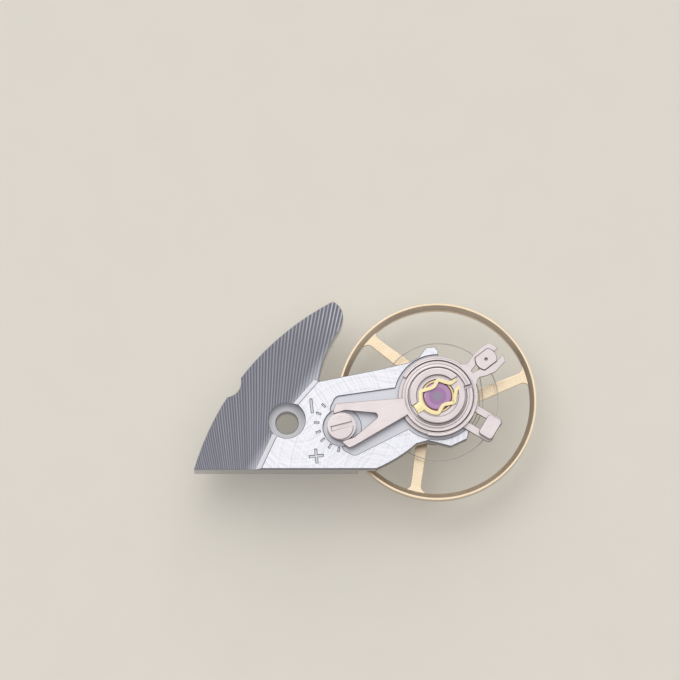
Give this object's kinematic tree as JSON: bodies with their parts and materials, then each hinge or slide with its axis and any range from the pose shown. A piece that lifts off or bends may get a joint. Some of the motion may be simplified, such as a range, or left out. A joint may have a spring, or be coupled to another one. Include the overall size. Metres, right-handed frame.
{
  "type": "balance wheel",
  "caption": "Watch balance: a spoked rim on a staff with hairspring and double roller, hung under a cock with shock setting, regulator index, stud carrier and eccentric screw.",
  "frame": {"origin": "on the axis of the cock's screw hole, in the face of the foot that seats on the movement", "axes": "+X along the cock's straight edge towards the balance, +Z along the balance staff, away from the movement"},
  "size_m": [0.0172, 0.0099, 0.004],
  "materials": {
    "plated_cock": "satin nickel plating over brass, striped on the foot",
    "satin_steel": "satin, bevelled edges",
    "polished_steel": "polished",
    "spring_alloy": "drawn and polished",
    "gilt_wheel": "pale gilt, turned",
    "gilt_spring": "bright gilt",
    "turned_brass": "turned",
    "ruby": "polished, mauve"
  },
  "bodies": {
    "cock": {"balance_cock": "plated_cock", "steady_pin_tip": "polished_steel", "steady_pin_corner": "polished_steel", "shock_block": "satin_steel"},
    "setting": {"jewel_setting": "turned_brass", "hole_jewel": "ruby", "cap_jewel": "ruby"},
    "lyre": {"lyre_spring": "gilt_spring"},
    "index": {"regulator_index": "satin_steel"},
    "curb_carrier": {"curb_pin_carrier": "satin_steel"},
    "key": {"regulator_key": "satin_steel", "outer_curb_pin": "polished_steel", "inner_curb_pin": "polished_steel"},
    "stud_holder": {"stud_carrier": "satin_steel", "hairspring_stud": "satin_steel", "hairspring": "spring_alloy"},
    "eccentric": {"regulating_eccentric": "satin_steel"},
    "balance": {"balance_wheel": "gilt_wheel", "balance_staff": "polished_steel", "roller": "turned_brass", "impulse_jewel": "ruby", "collet": "turned_brass"}
  },
  "joints": [
    {"name": "balance_swing", "type": "hinge", "parent": "cock", "child": "balance", "pos_m": [0.00754, 0.00115, 0], "axis": [0, 0, 1], "range_deg": [-315, 315], "stiffness_Nm_per_rad": 0.00000056, "deforming": ["hairspring"]},
    {"name": "setting_lift", "type": "slide", "parent": "cock", "child": "setting", "axis": [0, 0, 1], "range_m": [0, 0.00005], "stiffness_N_per_m": 500, "deforming": ["lyre_spring"]},
    {"name": "lyre_hinge", "type": "hinge", "parent": "cock", "child": "lyre", "pos_m": [0.00647, 0.00046, 0.00246], "axis": [0.5446, -0.8387, 0], "range_deg": [0, 80]},
    {"name": "eccentric_turn", "type": "hinge", "parent": "cock", "child": "eccentric", "pos_m": [0.00267, -0.00039, 0.0024], "axis": [0, 0, 1], "range_deg": [-45, 45]},
    {"name": "index_turn", "type": "hinge", "parent": "cock", "child": "index", "pos_m": [0.00754, 0.00115, 0.00227], "axis": [0, 0, 1], "range_deg": [-0.7, 0.7]},
    {"name": "curb_carrier_turn", "type": "hinge", "parent": "index", "child": "curb_carrier", "pos_m": [0.00754, 0.00115, 0.00204], "axis": [0, 0, 1], "range_deg": [-6, 6]},
    {"name": "key_turn", "type": "hinge", "parent": "curb_carrier", "child": "key", "pos_m": [0.01016, -0.00043, 0.0024], "axis": [0, 0, 1], "range_deg": [-40, 40]},
    {"name": "stud_carrier_turn", "type": "hinge", "parent": "cock", "child": "stud_holder", "pos_m": [0.00754, 0.00115, 0.00227], "axis": [0, 0, 1], "range_deg": [-8, 8]}
  ],
  "couplings": [
    {"joint": "index_turn", "follows": "eccentric_turn", "ratio": -0.015}
  ]
}
